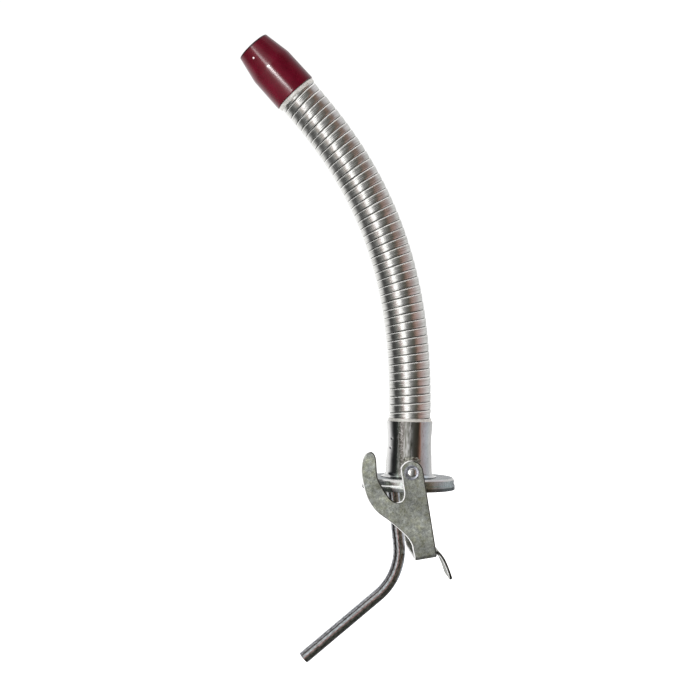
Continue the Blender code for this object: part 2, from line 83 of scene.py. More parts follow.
# Hose: a strip wound in a helix, each turn's rounded lower edge tucked into the turn below
HOSE_INNER_RADIUS = 11.5 * MM
HOSE_PITCH = 5.25 * MM
HOSE_SIDES = 72
HOSE_BAND = ((0.0, 12.95), (0.025, 13.14), (0.07, 13.3), (0.14, 13.38), (0.3, 13.44), (0.55, 13.51),
             (0.8, 13.57), (0.86, 13.58), (0.9, 13.55), (0.935, 13.46), (0.96, 13.32), (0.98, 13.1),
             (0.99, 12.95))

# Lever: the middle surface of one folded sheet
SHEET = 2.0 * MM
PLATE_Y = 32.2 * MM
BRIDGE_DROP = 54.3 * MM
BRIDGE_TILT = math.radians(10.2)
BEND_RADIUS = 2.0 * MM
TAB_HALF_WIDTH = 14.0 * MM
EYE_RADIUS = 7.5 * MM
EYE_HOLE_RADIUS = 3.7 * MM

# The pale chip in the red tip
CHIP_PLACE = (-105.7 * MM, -11.4 * MM, 272.8 * MM)
CHIP_SIZE = 0.8 * MM

# Tip: its length, and how far the hose reaches into it
TIP_LENGTH = 40.7 * MM
HOSE_IN_TIP = 18.4 * MM

# Breather tube: tilt of its upper part, and its radii
BREATHER_LEAN = math.radians(7.3)
BREATHER_OUTER, BREATHER_INNER = 4.0 * MM, 3.0 * MM

PIECES = {}


# ---------------------------------------------------------------- mesh helpers

def new_object(name, mesh, materials):
    piece = bpy.data.objects.new(name, mesh)
    bpy.context.scene.collection.objects.link(piece)
    for material in materials:
        mesh.materials.append(material)
    PIECES[name] = piece
    return piece


def finish_mesh(name, work, materials, sharp_degrees=38):
    bmesh.ops.recalc_face_normals(work, faces=work.faces)
    mesh = bpy.data.meshes.new(name)
    work.to_mesh(mesh)
    work.free()
    mesh.shade_smooth()
    mesh.set_sharp_from_angle(angle=math.radians(sharp_degrees))
    return new_object(name, mesh, materials)


def rounded(points, radii, steps=4):
    """A closed profile given in millimetres, with its corners rounded; a radius of 0 keeps the corner."""
    profile = [Vector((r * MM, h * MM)) for r, h in points]
    result = []
    for i, (here, radius) in enumerate(zip(profile, radii)):
        if radius <= 0.0:
            result.append(here)
            continue
        back = profile[i - 1] - here
        ahead = profile[(i + 1) % len(profile)] - here
        reach = min(radius * MM, 0.48 * back.length, 0.48 * ahead.length)
        start = here + back.normalized() * reach
        end = here + ahead.normalized() * reach
        for step in range(steps + 1):
            t = step / steps
            result.append(start * (1 - t) ** 2 + here * 2 * t * (1 - t) + end * t * t)
    return [(p.x, p.y) for p in result]


def turn_profile(name, profile, sides, materials, place=None, shift=None, sharp_degrees=38):
    """Turn a closed (radius, height) profile about local Z. shift moves each point of the skin."""
    work = bmesh.new()
    rings = []
    for radius, height in profile:
        ring = []
        for side in range(sides):
            angle = 2 * math.pi * side / sides
            point = Vector((radius * math.cos(angle), radius * math.sin(angle), height))
            if shift:
                point = shift(point, angle)
            ring.append(work.verts.new(point))
        rings.append(ring)
    for ring, following in zip(rings, rings[1:] + rings[:1]):
        for side in range(sides):
            after = (side + 1) % sides
            work.faces.new((ring[side], ring[after], following[after], following[side]))
    if place:
        work.transform(place)
    return finish_mesh(name, work, materials, sharp_degrees)


def solid_of_turn(name, profile, sides, materials, place=None, sharp_degrees=38):
    """Turn an open profile whose two ends lie on the axis."""
    work = bmesh.new()
    top = work.verts.new((0, 0, profile[0][1]))
    bottom = work.verts.new((0, 0, profile[-1][1]))
    rings = []
    for radius, height in profile[1:-1]:
        rings.append([work.verts.new((radius * math.cos(2 * math.pi * s / sides),
                                      radius * math.sin(2 * math.pi * s / sides), height))
                      for s in range(sides)])
    for side in range(sides):
        after = (side + 1) % sides
        work.faces.new((top, rings[0][side], rings[0][after]))
        work.faces.new((bottom, rings[-1][after], rings[-1][side]))
        for ring, following in zip(rings, rings[1:]):
            work.faces.new((ring[side], following[side], following[after], ring[after]))
    if place:
        work.transform(place)
    return finish_mesh(name, work, materials, sharp_degrees)


def smooth_line(points, per_span):
    """A Catmull-Rom curve through the given points."""
    ends = [points[0], *points, points[-1]]
    line = []
    for before, start, end, after in zip(ends, ends[1:], ends[2:], ends[3:]):
        for step in range(per_span):
            t = step / per_span
            weights = (
                (-t + 2 * t * t - t ** 3) / 2,
                (2 - 5 * t * t + 3 * t ** 3) / 2,
                (t + 4 * t * t - 3 * t ** 3) / 2,
                (-t * t + t ** 3) / 2,
            )
            near = (before, start, end, after)
            line.append(tuple(sum(w * p[axis] for w, p in zip(weights, near))
                              for axis in range(len(start))))
    line.append(tuple(points[-1]))
    return line


def arc(centre, radius, start, end, count):
    angles = [start + (end - start) * i / (count - 1) for i in range(count)]
    return [(centre[0] + radius * math.cos(a), centre[1] + radius * math.sin(a)) for a in angles]


def place_on(piece, body, slot, *nodes):
    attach(piece, body)
    if nodes:
        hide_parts(*nodes)


# ---------------------------------------------------------------- materials

class Nodes:
    """Short calls for building a node tree."""

    def __init__(self, tree):
        self.nodes = tree.nodes
        self.links = tree.links

    def feed(self, value, socket):
        if isinstance(value, bpy.types.NodeSocket):
            self.links.new(value, socket)
        elif isinstance(value, tuple):
            socket.default_value = (*value, 1.0)
        else:
            socket.default_value = value

    def make(self, kind, **inputs):
        """A new node; an underscore in an input's name stands for a space."""
        node = self.nodes.new("ShaderNode" + kind)
        for name, value in inputs.items():
            self.feed(value, node.inputs[name.replace("_", " ")])
        return node

    def axes(self, vector):
        return self.make("SeparateXYZ", Vector=vector).outputs

    def ramp(self, factor, stops):
        """A ramp through (position, grey or colour) stops."""
        node = self.make("ValToRGB", Fac=factor)
        elements = node.color_ramp.elements
        while len(elements) < len(stops):
            elements.new(0.5)
        for element, (position, tone) in zip(elements, stops):
            element.position = position
            element.color = (*tone, 1.0) if isinstance(tone, tuple) else (tone, tone, tone, 1.0)
        return node.outputs["Color"]

    def span(self, factor, low, high, from_low=0.0, from_high=1.0):
        """Map the range from_low ... from_high onto low ... high, held at both ends."""
        return self.make("MapRange", Value=factor, From_Min=from_low, From_Max=from_high, To_Min=low,
                         To_Max=high).outputs["Result"]

    def soft_step(self, value, low, high):
        node = self.make("MapRange", Value=value, From_Min=low, From_Max=high)
        node.interpolation_type = "SMOOTHSTEP"
        return node.outputs["Result"]

    def mix(self, factor, first, second, blend="MIX"):
        node = self.nodes.new("ShaderNodeMix")
        node.data_type = "RGBA"
        node.blend_type = blend
        for value, name in ((factor, "Factor"), (first, "A"), (second, "B")):
            self.feed(value, node.inputs[name])
        return node.outputs["Result"]

    def times(self, first, second):
        """Two colours multiplied."""
        return self.mix(1.0, first, second, "MULTIPLY")

    def both(self, first, second):
        """Two numbers multiplied."""
        return self.maths("MULTIPLY", first, second)

    def maths(self, operation, *values):
        node = self.nodes.new("ShaderNodeMath")
        node.operation = operation
        for value, socket in zip(values, node.inputs):
            self.feed(value, socket)
        return node.outputs[0]


class Paint(Nodes):
    """A Principled material, with its coordinates, noises and stacked bumps."""

    def __init__(self, name, metallic):
        self.material = bpy.data.materials.new(name)
        self.material.use_nodes = True
        super().__init__(self.material.node_tree)
        self.shader = self.nodes["Principled BSDF"]
        self.shader.inputs["Metallic"].default_value = metallic
        self.bump_out = None

    def coordinates(self, kind="Object", scale=(1, 1, 1), rotation=(0, 0, 0)):
        mapping = self.make("Mapping", Vector=self.make("TexCoord").outputs[kind])
        mapping.inputs["Scale"].default_value = scale
        mapping.inputs["Rotation"].default_value = rotation
        return mapping.outputs["Vector"]

    def normal(self):
        """The piece's own surface direction, by axis."""
        return self.axes(self.make("TexCoord").outputs["Normal"])

    def left_to_right(self):
        """0 where the surface faces the piece's -X side, 1 where it faces +X."""
        return self.span(self.normal()["X"], 0.0, 1.0, -1.0, 1.0)

    def noise(self, vector, scale, detail=4.0, roughness=0.55, distortion=0.0):
        return self.make("TexNoise", Vector=vector, Scale=scale, Detail=detail, Roughness=roughness,
                         Distortion=distortion).outputs["Fac"]

    def dots(self, vector, scale, size, patches, kept=((0.56, 0.0), (0.62, 1.0))):
        """Round dots, kept only where the patches are bright."""
        cells = self.make("TexVoronoi", Vector=vector, Scale=scale).outputs["Distance"]
        return self.times(self.ramp(cells, [(0.0, 1.0), (size, 0.0)]), self.ramp(patches, kept))

    def bump(self, height, strength, distance):
        node = self.make("Bump", Height=height, Strength=strength, Distance=distance)
        if self.bump_out:
            self.feed(self.bump_out, node.inputs["Normal"])
        self.bump_out = node.outputs["Normal"]
        self.set("Normal", self.bump_out)

    def set(self, socket, value):
        self.feed(value, self.shader.inputs[socket])


def mottled(name, metallic, grain, tones, shine, relief=None, specular=0.5):
    """A plain finish: one grain sets its tone, its roughness and its relief."""
    paint = Paint(name, metallic)
    grain = paint.noise(paint.coordinates(), *grain)
    paint.set("Base Color", paint.ramp(grain, tones))
    paint.set("Roughness", paint.span(grain, *shine))
    if relief:
        paint.bump(grain, *relief)
    paint.set("Specular IOR Level", specular)
    return paint.material


def drawn_surface(paint, place):
    """The slight waves and fine upright draw lines of a drawn tube."""
    paint.bump(paint.noise(place, 75, 2), 0.35, 0.9 * MM)
    paint.bump(paint.noise(paint.coordinates(scale=(1, 1, 0.04)), 900, 3), 0.12, 0.12 * MM)


BRIGHT_PLATING = [(0.3, (0.6, 0.6, 0.58)), (0.62, (0.74, 0.735, 0.73))]


def plated_steel():
    """Bright plating over drawn steel, with dull patches."""
    paint = Paint("plated_steel", 1.0)
    place = paint.coordinates()
    paint.set("Base Color", paint.ramp(paint.noise(place, 110, 5), BRIGHT_PLATING))
    paint.set("Roughness", paint.span(paint.noise(place, 420, 4), 0.1, 0.24, 0.35, 0.7))
    drawn_surface(paint, place)
    return paint.material


def cap_plating():
    """Thin plating gone dull, with olive and brown marks and a dark hem; the side facing +X carries a painted blue
    reflection tint, and the flare's upward face on the left is painted white as a highlight.
    """
    paint = Paint("cap_plating", 1.0)
    place = paint.coordinates()
    height = paint.axes(place)["Z"]
    facing = paint.normal()
    marks = paint.noise(place, 260, 4, 0.6)
    tone = paint.ramp(marks, [(0.34, (0.34, 0.36, 0.31)), (0.5, (0.46, 0.52, 0.5)), (0.66, (0.6, 0.66, 0.68))])
    wear_and_painted_light = paint.noise(paint.coordinates(scale=(1, 1, 0.3)), 1100, 2)
    tone = paint.mix(0.4, tone, paint.ramp(wear_and_painted_light, [(0.35, 0.36), (0.65, 0.7)]))
    # painted reflection: the side facing +X is tinted green-grey and blue-grey, the side facing -X keeps its tone
    painted_reflection_tint = paint.ramp(paint.left_to_right(), [
        (0.58, (1.0, 1.0, 1.0)), (0.64, (0.8, 0.92, 0.8)), (0.8, (0.84, 0.93, 0.99)), (1.0, (0.9, 0.92, 0.94))])
    hem = paint.span(height, 0.3, 1.0, 0.1 * MM, 0.7 * MM)
    tone = paint.times(paint.times(tone, painted_reflection_tint), hem)
    # painted highlight: on the left, the flare's upward face below the skirt is painted white and made less metallic
    rim = paint.both(paint.span(facing["Z"], 0.0, 1.0, 0.3, 0.45), paint.span(height, 1.0, 0.0, 2.3 * MM, 2.6 * MM))
    rim = paint.both(rim, paint.span(facing["X"], 1.0, 0.0, 0.0, 0.2))
    paint.set("Base Color", paint.mix(rim, tone, (1.0, 1.0, 1.0)))
    paint.set("Metallic", paint.span(rim, 1.0, 0.1))
    paint.set("Roughness", paint.span(marks, 0.18, 0.36, 0.35, 0.7))
    paint.bump(paint.noise(place, 90, 2), 0.3, 0.5 * MM)
    paint.bump(paint.noise(place, 900, 2), 0.12, 0.08 * MM)
    paint.set("Specular Tint", (0.55, 0.55, 0.57))
    return paint.material


def collar_plating():
    """Bright plating, stained down the front beside the braze and nicked on its right, with painted reflection bands
    across the front and painted glints in an upright strip on its left.
    """
    paint = Paint("collar_plating", 1.0)
    place = paint.coordinates()
    across, depth, height = paint.axes(place)
    tone = paint.ramp(paint.noise(place, 110, 5), BRIGHT_PLATING)
    streaks = paint.noise(paint.coordinates(scale=(1, 1, 0.16)), 620, 4, 0.65)
    front = paint.span(depth, 1.0, 0.0, -10 * MM, -6 * MM)

    # painted reflection: bands of white, black, green-white, pink, grey, copper and lavender across the front stand in
    # for the room reflected in the plating
    waver = paint.maths("MULTIPLY_ADD", paint.noise(paint.coordinates(scale=(1, 1, 0.6)), 120, 1), 3 * MM, across)
    painted_reflection_bands = paint.ramp(paint.span(waver, 0.0, 1.0, -15 * MM, 18 * MM), [
        (0.1, (1.0, 1.0, 1.0)), (0.125, (0.25, 0.26, 0.27)), (0.23, (0.3, 0.33, 0.32)), (0.26, (0.85, 1.0, 0.9)),
        (0.29, (0.9, 0.5, 0.48)), (0.32, (0.7, 0.68, 0.68)), (0.5, (0.55, 0.55, 0.53)), (0.58, (0.4, 0.38, 0.36)),
        (0.65, (0.4, 0.36, 0.32)), (0.665, (0.9, 0.75, 0.68)), (0.69, (0.9, 1.08, 1.18)), (0.88, (0.78, 0.82, 0.86)),
        (0.96, (1.0, 1.0, 1.0))])
    tone = paint.mix(front, tone, paint.times(tone, painted_reflection_bands))

    wander = paint.maths("MULTIPLY_ADD", streaks, 5 * MM, across)
    stained = paint.both(paint.span(wander, 0.0, 1.0, -6.5 * MM, -5 * MM),
                         paint.span(wander, 1.0, 0.0, 2.2 * MM, 4.4 * MM))
    stained = paint.both(stained, front)
    soiled = paint.ramp(streaks, [(0.36, (0.13, 0.13, 0.11)), (0.5, (0.27, 0.27, 0.25)), (0.64, (0.62, 0.62, 0.61))])
    tone = paint.mix(stained, tone, soiled)

    nicks = paint.noise(paint.coordinates(scale=(1, 1, 0.14)), 1700, 2)
    nicks = paint.both(paint.ramp(nicks, [(0.6, 0.0), (0.66, 0.55)]), paint.span(across, 0.0, 1.0, 6 * MM, 7 * MM))
    tone = paint.mix(nicks, tone, (0.3, 0.28, 0.32))

    # painted highlight: white glints in an upright strip on the front's left, denser towards the top
    side = paint.both(paint.span(across, 0.0, 1.0, -9.5 * MM, -8 * MM),
                      paint.span(across, 1.0, 0.0, -6 * MM, -4.5 * MM))
    side = paint.both(paint.both(side, front), paint.span(height, 0.35, 1.0, 20 * MM, 34 * MM))
    painted_glints = paint.ramp(paint.noise(place, 1300, 2, 0.6), [(0.52, 0.0), (0.6, 1.0)])
    paint.set("Base Color", paint.mix(paint.both(painted_glints, side), tone, (1.0, 1.0, 0.98)))
    smooth = paint.span(paint.noise(place, 420, 4), 0.1, 0.22, 0.35, 0.7)
    paint.set("Roughness", paint.mix(stained, smooth, paint.ramp(streaks, [(0.35, 0.26), (0.65, 0.46)])))
    drawn_surface(paint, place)
    return paint.material


def strip_steel():
    """Bright strip: lines along the strip, a pale band painted along each lip as a highlight, and painted shade where
    one turn tucks into the next.
    """
    paint = Paint("galvanised_strip", 1.0)
    across = paint.maths("FRACT", paint.axes(paint.coordinates("UV"))["Y"])
    streaks = paint.noise(paint.coordinates("UV", scale=(0.5, 9.0, 1.0)), 1.0, 3)
    fine = paint.noise(paint.coordinates("UV", scale=(2.5, 30.0, 1.0)), 1.0, 3)
    # painted shade: the strip is darker at both edges, where one turn tucks into the next
    painted_crease_shade = paint.ramp(across, [(0.0, 0.2), (0.03, 0.35), (0.07, 1.0), (0.95, 1.0), (0.98, 0.6), (1.0, 0.2)])
    # painted highlight: a pale, less metallic band along each turn's upper lip
    painted_lip_highlight = paint.ramp(across, [(0.79, 0.0), (0.85, 0.5), (0.91, 0.5), (0.95, 0.0)])
    tone = paint.ramp(streaks, [(0.3, (0.54, 0.54, 0.505)), (0.66, (0.86, 0.855, 0.84))])
    tone = paint.mix(painted_lip_highlight, tone, (0.95, 0.95, 0.92))
    paint.set("Base Color", paint.times(tone, painted_crease_shade))
    paint.set("Metallic", paint.span(painted_lip_highlight, 1.0, 0.55, 0.0, 0.5))
    paint.set("Roughness", paint.span(fine, 0.05, 0.16, 0.3, 0.7))
    paint.bump(streaks, 0.7, 0.26 * MM)
    paint.bump(paint.noise(paint.coordinates(), 150, 2), 0.4, 0.35 * MM)
    return paint.material


def zinc_sheet():
    """Dull passivated zinc: olive and blue-grey clouds, coarse and fine mottling, scratches and nicks; painted light
    brightens its left end and painted shade darkens faces that point down.
    """
    paint = Paint("zinc_lever", 0.75)
    place = paint.coordinates()
    tint = paint.noise(place, 240, 3, 0.6, 0.4)
    tone = paint.ramp(tint, [(0.36, (0.34, 0.35, 0.275)), (0.5, (0.355, 0.37, 0.325)), (0.66, (0.375, 0.395, 0.375))])
    for scale, detail, depth in ((70, 2, 0.32), (300, 1, 0.2), (800, 1, 0.26), (1900, 1, 0.32)):
        tone = paint.times(tone, paint.span(paint.noise(place, scale, detail), 1 - depth, 1 + depth, 0.3, 0.7))
    # painted light: the sheet is brighter towards -X, its left end
    tone = paint.times(tone, paint.span(paint.axes(place)["X"], 1.35, 1.0, -31 * MM, -18 * MM))
    wear_and_painted_light = paint.noise(paint.coordinates(scale=(1, 1, 0.1), rotation=(0, 0.35, 0)), 700, 2)
    tone = paint.mix(paint.ramp(wear_and_painted_light, [(0.58, 0.0), (0.74, 0.4)]), tone, (0.56, 0.57, 0.54))
    nicks = paint.dots(paint.coordinates(scale=(1, 1, 0.7)), 300, 0.12, paint.noise(place, 110, 2))
    # painted shade: faces that point down, such as the bottom bend, are darker
    tone = paint.times(tone, paint.span(paint.normal()["Z"], 0.4, 1.0, -0.5, -0.04))
    paint.set("Base Color", paint.mix(nicks, tone, (0.8, 0.8, 0.76)))
    paint.set("Roughness", paint.span(tint, 0.34, 0.5, 0.3, 0.7))
    paint.bump(paint.noise(place, 900, 3), 0.12, 0.06 * MM)
    paint.bump(paint.noise(place, 110, 3), 0.2, 0.3 * MM)
    return paint.material


def sheared_edge():
    """The rounded edge of the stamped sheet: painted bright as a highlight where it faces left or up, painted dark as
    shade elsewhere.
    """
    paint = Paint("sheared_edge", 0.5)
    place = paint.coordinates()
    facing = paint.normal()
    # painted light and shade: the edge is bright and less metallic where it faces left or up, dark where it faces
    # right or down
    leftward = paint.both(facing["X"], -1.0)
    wear_and_painted_light = paint.span(paint.maths("MULTIPLY_ADD", facing["Z"], 0.3, leftward), 0.0, 1.0, 0.02, 0.34)
    worn = paint.noise(place, 420, 3)
    dark = paint.ramp(worn, [(0.35, (0.035, 0.035, 0.03)), (0.68, (0.16, 0.16, 0.14))])
    bright = paint.ramp(worn, [(0.3, (0.82, 0.82, 0.8)), (0.6, (0.96, 0.96, 0.95))])
    paint.set("Base Color", paint.mix(wear_and_painted_light, dark, bright))
    paint.set("Metallic", paint.span(wear_and_painted_light, 0.9, 0.15))
    paint.set("Roughness", paint.span(worn, 0.24, 0.4, 0.3, 0.7))
    paint.bump(paint.noise(place, 700, 2), 0.15, 0.06 * MM)
    return paint.material


def tarnished_tube():
    """Drawn tube gone dark, with lengthwise streaks and brown stains; pale sides, a dark line and a pinkish line are
    painted round it as reflection and shade.
    """
    paint = Paint("tarnished_tube", 1.0)
    streaks = paint.noise(paint.coordinates("UV", scale=(45.0, 26.0, 1.0)), 1.0, 5, 0.65, 0.3)
    stain = paint.noise(paint.coordinates("UV", scale=(3.0, 60.0, 1.0)), 1.0, 4)
    tone = paint.ramp(streaks, [(0.39, (0.5, 0.51, 0.48)), (0.5, (0.9, 0.91, 0.88)), (0.61, (1.5, 1.5, 1.52))])
    # painted reflection and shade round the tube: 0.5 is its right side or underside, 0.75 its front, 1.0 its left
    # side or top
    sides = paint.ramp(paint.axes(paint.coordinates("UV"))["Y"], [
        (0.0, (0.8, 0.81, 0.88)), (0.25, (0.45, 0.46, 0.43)), (0.5, (0.8, 0.84, 0.98)), (0.6, (0.56, 0.6, 0.68)),
        (0.65, (0.28, 0.3, 0.26)), (0.735, (0.28, 0.29, 0.26)), (0.75, (0.42, 0.26, 0.25)), (0.765, (0.4, 0.25, 0.24)),
        (0.78, (0.34, 0.37, 0.39)), (0.82, (0.34, 0.37, 0.4)), (0.835, (0.06, 0.06, 0.06)),
        (0.86, (0.08, 0.08, 0.09)), (0.88, (0.8, 0.81, 0.88))])
    tone = paint.mix(paint.ramp(stain, [(0.52, 0.0), (0.66, 0.5)]), paint.times(tone, sides), (0.36, 0.25, 0.22))
    dots = paint.dots(paint.coordinates(), 420, 0.13, paint.noise(paint.coordinates(), 130, 2))
    paint.set("Base Color", paint.mix(dots, tone, (0.9, 0.9, 0.88)))
    paint.set("Roughness", paint.span(streaks, 0.22, 0.42, 0.3, 0.7))
    paint.bump(streaks, 0.2, 0.12 * MM)
    return paint.material


def maroon_plastic():
    """Glossy maroon moulding, painted lighter on its left as light and darker on its right as shade, with faint flow
    marks and a few pale chips.
    """
    paint = Paint("red_tip", 0.0)
    place = paint.coordinates()
    tone = paint.ramp(paint.noise(place, 130, 5), [(0.3, (0.085, 0.001, 0.008)), (0.7, (0.125, 0.002, 0.014))])
    chips = paint.dots(place, 150, 0.07, paint.noise(place, 48, 1), ((0.62, 0.0), (0.66, 0.7)))
    near = paint.make("VectorMath")
    near.operation = "DISTANCE"
    paint.feed(place, near.inputs[0])
    near.inputs[1].default_value = CHIP_PLACE
    ragged = paint.maths("MULTIPLY_ADD", paint.noise(place, 900, 2), 0.5 * CHIP_SIZE, -0.25 * CHIP_SIZE)
    reach = paint.maths("ADD", near.outputs["Value"], ragged)
    chips = paint.mix(1.0, chips, paint.span(reach, 1.0, 0.0, 0.7 * CHIP_SIZE, CHIP_SIZE), "LIGHTEN")
    # painted light and shade: the side facing -X is lighter, the side facing +X darker
    across = paint.left_to_right()
    tone = paint.times(tone, paint.ramp(across, [(0.3, 0.68), (0.46, 0.64), (0.6, 0.56), (0.85, 0.6)]))
    paint.set("Base Color", paint.mix(chips, tone, (0.6, 0.5, 0.52)))
    gloss = paint.ramp(across, [(0.3, 0.55), (0.42, 0.5), (0.5, 0.2), (0.75, 0.2), (0.92, 0.6)])
    paint.set("Specular IOR Level", gloss)
    paint.set("Roughness", paint.span(paint.noise(place, 500, 4), 0.17, 0.22, 0.35, 0.7))
    paint.bump(paint.noise(place, 260, 3), 0.02, 0.1 * MM)
    paint.bump(paint.noise(place, 90, 1), 0.12, 0.3 * MM)
    return paint.material


PLATED = plated_steel()
CAP_PLATING = cap_plating()
WASHER_PLATING = mottled("washer_plating", 1.0, (700, 3), [(0.35, (0.44, 0.45, 0.5)), (0.65, (0.66, 0.68, 0.76))],
                         (0.14, 0.3, 0.35, 0.7), (0.1, 0.08 * MM))
COLLAR_PLATING = collar_plating()
DULL = mottled("dull_steel", 1.0, (160, 5), [(0.3, (0.3, 0.29, 0.27)), (0.7, (0.5, 0.49, 0.47))], (0.3, 0.55))
STRIP = strip_steel()
ZINC = zinc_sheet()
EDGE = sheared_edge()
TARNISHED = tarnished_tube()
MAROON = maroon_plastic()
MAROON_END = mottled("tip_end", 0.0, (600, 4), [(0.35, (0.012, 0.002, 0.004)), (0.7, (0.035, 0.007, 0.01))],
                     (0.16, 0.3), (0.15, 0.08 * MM), 0.4)
PALE_RING = mottled("pale_ring", 0.5, (320, 4), [(0.3, (0.62, 0.61, 0.57)), (0.7, (0.84, 0.83, 0.8))],
                    (0.36, 0.55), (0.15, 0.1 * MM))
RUBBER = mottled("black_rubber", 0.0, (700, 4), [(0.3, (0.018, 0.018, 0.018)), (0.7, (0.05, 0.048, 0.045))],
                 (0.5, 0.75), (0.2, 0.1 * MM))
BRAZE = mottled("braze", 1.0, (700, 5, 0.6), [(0.38, (0.12, 0.115, 0.1)), (0.5, (0.36, 0.36, 0.31)),
                                              (0.66, (0.7, 0.7, 0.64))], (0.24, 0.5), (0.6, 0.3 * MM))


# ---------------------------------------------------------------- hose

def hose_joint_points():
    names = [name for name in JOINTS if name.startswith("hose_")]
    points = [Vector(JOINTS[name]["pos_m"]) for name in names]
    return sorted(points, key=lambda point: point.z)


class Centreline:
    """The hose's centreline from the collar's seat into the tip, by distance along it."""

    def __init__(self, points):
        line = np.array(smooth_line([tuple(p) for p in points], 24))
        gaps = np.linalg.norm(np.diff(line, axis=0), axis=1)
        keep = np.concatenate([[True], gaps > 1e-9])
        self.line = line[keep]
        self.at = np.concatenate([[0.0], np.cumsum(np.linalg.norm(np.diff(self.line, axis=0), axis=1))])
        self.tangents = np.gradient(self.line, self.at, axis=0)

    def sample(self, distances):
        """Points and unit tangents; beyond either end the line runs on straight."""
        inside = np.clip(distances, 0.0, self.at[-1])
        points = np.stack([np.interp(inside, self.at, self.line[:, i]) for i in range(3)], axis=-1)
        tangents = np.stack([np.interp(inside, self.at, self.tangents[:, i]) for i in range(3)], axis=-1)
        tangents /= np.linalg.norm(tangents, axis=-1, keepdims=True)
        points += (distances - inside)[..., None] * tangents
        return points, tangents

    def nearest(self, point):
        return float(self.at[np.argmin(np.linalg.norm(self.line - np.array(point), axis=1))])


def helix_skin(work, centreline, low, high, band, pitch, uv_layer):
    """The wound skin from low to high along the centreline; band is (share of pitch, radius) pairs."""
    first = math.floor(low / pitch) - 2
    last = math.ceil(high / pitch) + 2
    shares = np.array([share for share, _ in band])
    radii = np.array([radius for _, radius in band])
    turns = np.arange(first, last)
    across = (turns[:, None] + shares[None, :]).ravel()
    radius = np.tile(radii, len(turns))
    angles = 2 * math.pi * np.arange(HOSE_SIDES) / HOSE_SIDES
    distances = pitch * (across[:, None] + angles[None, :] / (2 * math.pi))
    points, tangents = centreline.sample(distances)
    side = np.stack([tangents[..., 2], np.zeros_like(distances), -tangents[..., 0]], axis=-1)
    depth = np.array([0.0, 1.0, 0.0])
    skin = points + radius[:, None, None] * (side * np.cos(angles)[None, :, None]
                                             + depth * np.sin(angles)[None, :, None])
    grid = [[work.verts.new(skin[row, column]) for column in range(HOSE_SIDES)] for row in range(len(across))]
    per_turn = len(band)
    for row in range(len(across) - 1):
        for column in range(HOSE_SIDES):
            wraps = column == HOSE_SIDES - 1
            if wraps and row + 1 + per_turn >= len(across):
                continue
            right = 0 if wraps else column + 1
            jump = per_turn if wraps else 0
            face = work.faces.new((grid[row][column], grid[row + jump][right],
                                   grid[row + 1 + jump][right], grid[row + 1][column]))
            low_v, high_v = across[row], across[row + 1]
            corners = ((column, low_v), (column + 1, low_v), (column + 1, high_v), (column, high_v))
            for loop, (step, value) in zip(face.loops, corners):
                loop[uv_layer].uv = (step / HOSE_SIDES * 8.0, value)


def cut_square(work, centreline, distance, keep_above):
    point, tangent = centreline.sample(np.array([distance]))
    direction = Vector(tangent[0]) * (-1 if keep_above else 1)
    geometry = work.verts[:] + work.edges[:] + work.faces[:]
    bmesh.ops.bisect_plane(work, geom=geometry, dist=1e-8, plane_co=Vector(point[0]), plane_no=direction,
                           clear_outer=True)


def hose_piece(name, centreline, low, high):
    work = bmesh.new()
    uv_layer = work.loops.layers.uv.new("strip")
    band = [(share, radius * MM) for share, radius in HOSE_BAND]
    helix_skin(work, centreline, low, high, band, HOSE_PITCH, uv_layer)
    inside = [(0.0, HOSE_INNER_RADIUS), (0.25, HOSE_INNER_RADIUS + 0.25 * MM),
              (0.75, HOSE_INNER_RADIUS + 0.25 * MM)]
    helix_skin(work, centreline, low, high, inside, HOSE_PITCH, uv_layer)
    cut_square(work, centreline, low, True)
    cut_square(work, centreline, high, False)
    for distance in (low, high):
        point, tangent = centreline.sample(np.array([distance]))
        rim = [edge for edge in work.edges if len(edge.link_faces) == 1
               and all(abs((v.co - Vector(point[0])).dot(Vector(tangent[0]))) < 1e-6 for v in edge.verts)]
        bmesh.ops.bridge_loops(work, edges=rim)
    return finish_mesh(name, work, [STRIP], 34)


def make_hose():
    joints = hose_joint_points()
    seat = Vector((0, 0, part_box("hose_link_01")[0][2]))
    tip_axis = Vector(MOUNTS["outlet_end"]["axis"]).normalized()
    inserted = joints[-1] + tip_axis * HOSE_IN_TIP
    below = [seat + (joints[0] - seat) * share for share in (0.0, 0.5)]
    above = [joints[-1] + tip_axis * 9 * MM, inserted]
    centreline = Centreline([*below, *joints, *above])
    at = [centreline.nearest(point) for point in joints]
    end_reach = 3.5 * MM
    middles = [at[0] - end_reach, *[(a + b) / 2 for a, b in zip(at, at[1:])], at[-1] + end_reach]
    foot = hose_piece("hose_turns_in_collar", centreline, 0.2 * MM, middles[0])
    place_on(foot, "base", "galvanised_strip", "hose_link_01")
    for number in range(13):
        low, high = middles[number], middles[number + 1]
        turns = hose_piece(f"hose_turns_{number + 1:02d}", centreline, low, high)
        start, _ = centreline.sample(np.array([low]))
        end, _ = centreline.sample(np.array([high]))
        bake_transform(turns)
        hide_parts(f"hose_link_{number + 2:02d}")
    head = hose_piece("hose_turns_in_tip", centreline, middles[-1], centreline.at[-1])
    place_on(head, "outlet", "galvanised_strip")


# ---------------------------------------------------------------- tip

def tip_place():
    """The tip's rear face: local Z runs to its open end."""
    axis = Vector(MOUNTS["outlet_end"]["axis"]).normalized()
    end = Vector(MOUNTS["outlet_end"]["pos_m"])
    end.y = 0.0
    lean = math.atan2(-axis.x, axis.z)
    return Matrix.Translation(end - axis * TIP_LENGTH) @ Matrix.Rotation(-lean, 4, "Y")


